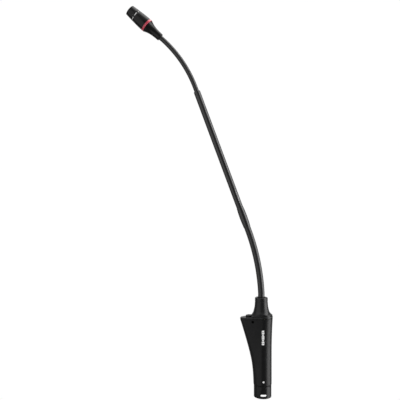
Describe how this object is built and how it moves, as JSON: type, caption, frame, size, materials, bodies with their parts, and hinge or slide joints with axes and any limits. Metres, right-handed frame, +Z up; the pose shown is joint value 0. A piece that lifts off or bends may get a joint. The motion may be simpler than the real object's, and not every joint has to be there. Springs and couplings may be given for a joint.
{
  "type": "gooseneck microphone",
  "caption": "Slim desktop microphone on a neck that bends near both ends, with a red light ring behind the capsule, a wedge base with a mute button, and a round locking audio plug.",
  "frame": {"origin": "centre of the plug barrel's bottom rim, where the plug enters its socket", "axes": "+Z up along the plug and the base; -X towards the talker, the way the wedge and the head lean; +Y completes a right-handed frame"},
  "size_m": [0.1587, 0.0202, 0.4231],
  "materials": {
    "plug_metal": "satin black enamel over cast metal",
    "housing_black": "satin black with a fine texture",
    "insulator": "moulded black plastic",
    "nickel": "bright nickel plate",
    "brass": "turned brass",
    "rubber": "soft matte black",
    "board": "green solder mask on glass-fibre board",
    "component": "moulded black component body",
    "neck_sheath": "satin black sheath over a wound steel core",
    "neck_black": "smooth satin black lacquer on steel",
    "head_black": "satin black anodised aluminium",
    "red_lens": "translucent red light guide",
    "led": "small light-emitting component"
  },
  "bodies": {
    "base": {"plug_barrel": "plug_metal", "plug_insert": "insulator", "plug_pin_1": "nickel", "plug_pin_2": "nickel", "plug_pin_3": "nickel", "pin_wire_1": "rubber", "pin_wire_2": "rubber", "pin_wire_3": "rubber", "plug_set_screw": "nickel", "base_housing": "housing_black", "base_top_cover": "housing_black", "mute_switch_body": "component", "preamp_board": "board", "board_capacitor_1": "component", "board_capacitor_2": "component", "board_chip": "component", "base_lead": "rubber", "neck_anchor_ferrule": "brass", "neck_anchor_nut": "nickel", "neck_bushing": "rubber", "lower_flex_stub": "neck_sheath"},
    "mute_button": {"mute_button": "housing_black"},
    "lower_link_1": {"lower_flex_link_1": "neck_sheath"},
    "lower_link_2": {"lower_flex_link_2": "neck_sheath"},
    "lower_link_3": {"lower_flex_link_3": "neck_sheath"},
    "lower_link_4": {"lower_flex_link_4": "neck_sheath"},
    "lower_link_5": {"lower_flex_link_5": "neck_sheath"},
    "lower_link_6": {"lower_flex_link_6": "neck_sheath"},
    "lower_link_7": {"lower_flex_link_7": "neck_sheath"},
    "lower_link_8": {"lower_flex_link_8": "neck_sheath"},
    "lower_link_9": {"lower_flex_link_9": "neck_sheath"},
    "neck_tube": {"lower_flex_end": "neck_sheath", "neck_sleeve": "neck_black", "rigid_tube": "neck_black", "tube_lead": "rubber", "upper_flex_stub": "neck_sheath"},
    "upper_link_1": {"upper_flex_link_1": "neck_sheath"},
    "upper_link_2": {"upper_flex_link_2": "neck_sheath"},
    "upper_link_3": {"upper_flex_link_3": "neck_sheath"},
    "upper_link_4": {"upper_flex_link_4": "neck_sheath"},
    "upper_link_5": {"upper_flex_link_5": "neck_sheath"},
    "upper_link_6": {"upper_flex_link_6": "neck_sheath"},
    "upper_link_7": {"upper_flex_link_7": "neck_sheath"},
    "upper_link_8": {"upper_flex_link_8": "neck_sheath"},
    "upper_link_9": {"upper_flex_link_9": "neck_sheath"},
    "head": {"upper_flex_end": "neck_sheath", "tail_cone": "head_black", "light_ring": "red_lens", "ring_board": "board", "ring_led_1": "led", "ring_led_2": "led", "ring_led_3": "led", "capsule_housing": "head_black", "front_cap": "head_black", "capsule": "nickel", "capsule_boot": "rubber", "front_mesh": "nickel", "port_screen": "nickel"}
  },
  "joints": [
    {"name": "mute_button_press", "type": "slide", "parent": "base", "child": "mute_button", "axis": [0, 0, -1], "range_m": [0, 0.0008], "stiffness_N_per_m": 1200, "springref_m": -0.0003},
    {"name": "lower_bend", "type": "hinge", "parent": "base", "child": "lower_link_1", "pos_m": [-0.00135, 0, 0.1115], "axis": [0.001, -1, 0], "range_deg": [-18, 14]},
    {"name": "lower_sway", "type": "hinge", "parent": "lower_link_1", "child": "lower_link_2", "pos_m": [-0.00186, 0, 0.11929], "axis": [0.9966, 0, 0.0829], "range_deg": [-16, 16]},
    {"name": "lower_bend_2", "type": "hinge", "parent": "lower_link_2", "child": "lower_link_3", "pos_m": [-0.00264, 0, 0.12707], "axis": [0.001, -1, 0], "range_deg": [-18, 14]},
    {"name": "lower_sway_2", "type": "hinge", "parent": "lower_link_3", "child": "lower_link_4", "pos_m": [-0.00369, 0, 0.13481], "axis": [0.9886, 0, 0.1506], "range_deg": [-16, 16]},
    {"name": "lower_bend_3", "type": "hinge", "parent": "lower_link_4", "child": "lower_link_5", "pos_m": [-0.005, 0, 0.14251], "axis": [0.001, -1, 0], "range_deg": [-18, 14]},
    {"name": "lower_sway_3", "type": "hinge", "parent": "lower_link_5", "child": "lower_link_6", "pos_m": [-0.00657, 0, 0.15016], "axis": [0.976, 0, 0.2177], "range_deg": [-16, 16]},
    {"name": "lower_bend_4", "type": "hinge", "parent": "lower_link_6", "child": "lower_link_7", "pos_m": [-0.0084, 0, 0.15775], "axis": [0.001, -1, 0], "range_deg": [-18, 14]},
    {"name": "lower_sway_4", "type": "hinge", "parent": "lower_link_7", "child": "lower_link_8", "pos_m": [-0.01048, 0, 0.16528], "axis": [0.9589, 0, 0.2837], "range_deg": [-16, 16]},
    {"name": "lower_bend_5", "type": "hinge", "parent": "lower_link_8", "child": "lower_link_9", "pos_m": [-0.01283, 0, 0.17273], "axis": [0.001, -1, 0], "range_deg": [-18, 14]},
    {"name": "lower_sway_5", "type": "hinge", "parent": "lower_link_9", "child": "neck_tube", "pos_m": [-0.01542, 0, 0.1801], "axis": [0.9374, 0, 0.3482], "range_deg": [-16, 16]},
    {"name": "upper_bend", "type": "hinge", "parent": "neck_tube", "child": "upper_link_1", "pos_m": [-0.07261, 0, 0.33402], "axis": [0.001, -1, 0], "range_deg": [-20, 15]},
    {"name": "upper_sway", "type": "hinge", "parent": "upper_link_1", "child": "upper_link_2", "pos_m": [-0.07523, 0, 0.34065], "axis": [0.9196, 0, 0.3928], "range_deg": [-17, 17]},
    {"name": "upper_bend_2", "type": "hinge", "parent": "upper_link_2", "child": "upper_link_3", "pos_m": [-0.07821, 0, 0.34714], "axis": [0.001, -1, 0], "range_deg": [-20, 15]},
    {"name": "upper_sway_2", "type": "hinge", "parent": "upper_link_3", "child": "upper_link_4", "pos_m": [-0.08154, 0, 0.35346], "axis": [0.8721, 0, 0.4893], "range_deg": [-17, 17]},
    {"name": "upper_bend_3", "type": "hinge", "parent": "upper_link_4", "child": "upper_link_5", "pos_m": [-0.0852, 0, 0.35959], "axis": [0.001, -1, 0], "range_deg": [-20, 15]},
    {"name": "upper_sway_3", "type": "hinge", "parent": "upper_link_5", "child": "upper_link_6", "pos_m": [-0.08918, 0, 0.36552], "axis": [0.8146, 0, 0.58], "range_deg": [-17, 17]},
    {"name": "upper_bend_4", "type": "hinge", "parent": "upper_link_6", "child": "upper_link_7", "pos_m": [-0.09348, 0, 0.37122], "axis": [0.001, -1, 0], "range_deg": [-20, 15]},
    {"name": "upper_sway_4", "type": "hinge", "parent": "upper_link_7", "child": "upper_link_8", "pos_m": [-0.09807, 0, 0.37668], "axis": [0.7476, 0, 0.6641], "range_deg": [-17, 17]},
    {"name": "upper_bend_5", "type": "hinge", "parent": "upper_link_8", "child": "upper_link_9", "pos_m": [-0.10296, 0, 0.38189], "axis": [0.001, -1, 0], "range_deg": [-20, 15]},
    {"name": "upper_sway_5", "type": "hinge", "parent": "upper_link_9", "child": "head", "pos_m": [-0.10811, 0, 0.38683], "axis": [0.672, 0, 0.7405], "range_deg": [-17, 17]}
  ],
  "couplings": [
    {"joint": "lower_bend_2", "follows": "lower_bend", "ratio": 1},
    {"joint": "lower_sway_2", "follows": "lower_sway", "ratio": 1},
    {"joint": "lower_bend_3", "follows": "lower_bend", "ratio": 1},
    {"joint": "lower_sway_3", "follows": "lower_sway", "ratio": 1},
    {"joint": "lower_bend_4", "follows": "lower_bend", "ratio": 1},
    {"joint": "lower_sway_4", "follows": "lower_sway", "ratio": 1},
    {"joint": "lower_bend_5", "follows": "lower_bend", "ratio": 1},
    {"joint": "lower_sway_5", "follows": "lower_sway", "ratio": 1},
    {"joint": "upper_bend_2", "follows": "upper_bend", "ratio": 1},
    {"joint": "upper_sway_2", "follows": "upper_sway", "ratio": 1},
    {"joint": "upper_bend_3", "follows": "upper_bend", "ratio": 1},
    {"joint": "upper_sway_3", "follows": "upper_sway", "ratio": 1},
    {"joint": "upper_bend_4", "follows": "upper_bend", "ratio": 1},
    {"joint": "upper_sway_4", "follows": "upper_sway", "ratio": 1},
    {"joint": "upper_bend_5", "follows": "upper_bend", "ratio": 1},
    {"joint": "upper_sway_5", "follows": "upper_sway", "ratio": 1}
  ]
}
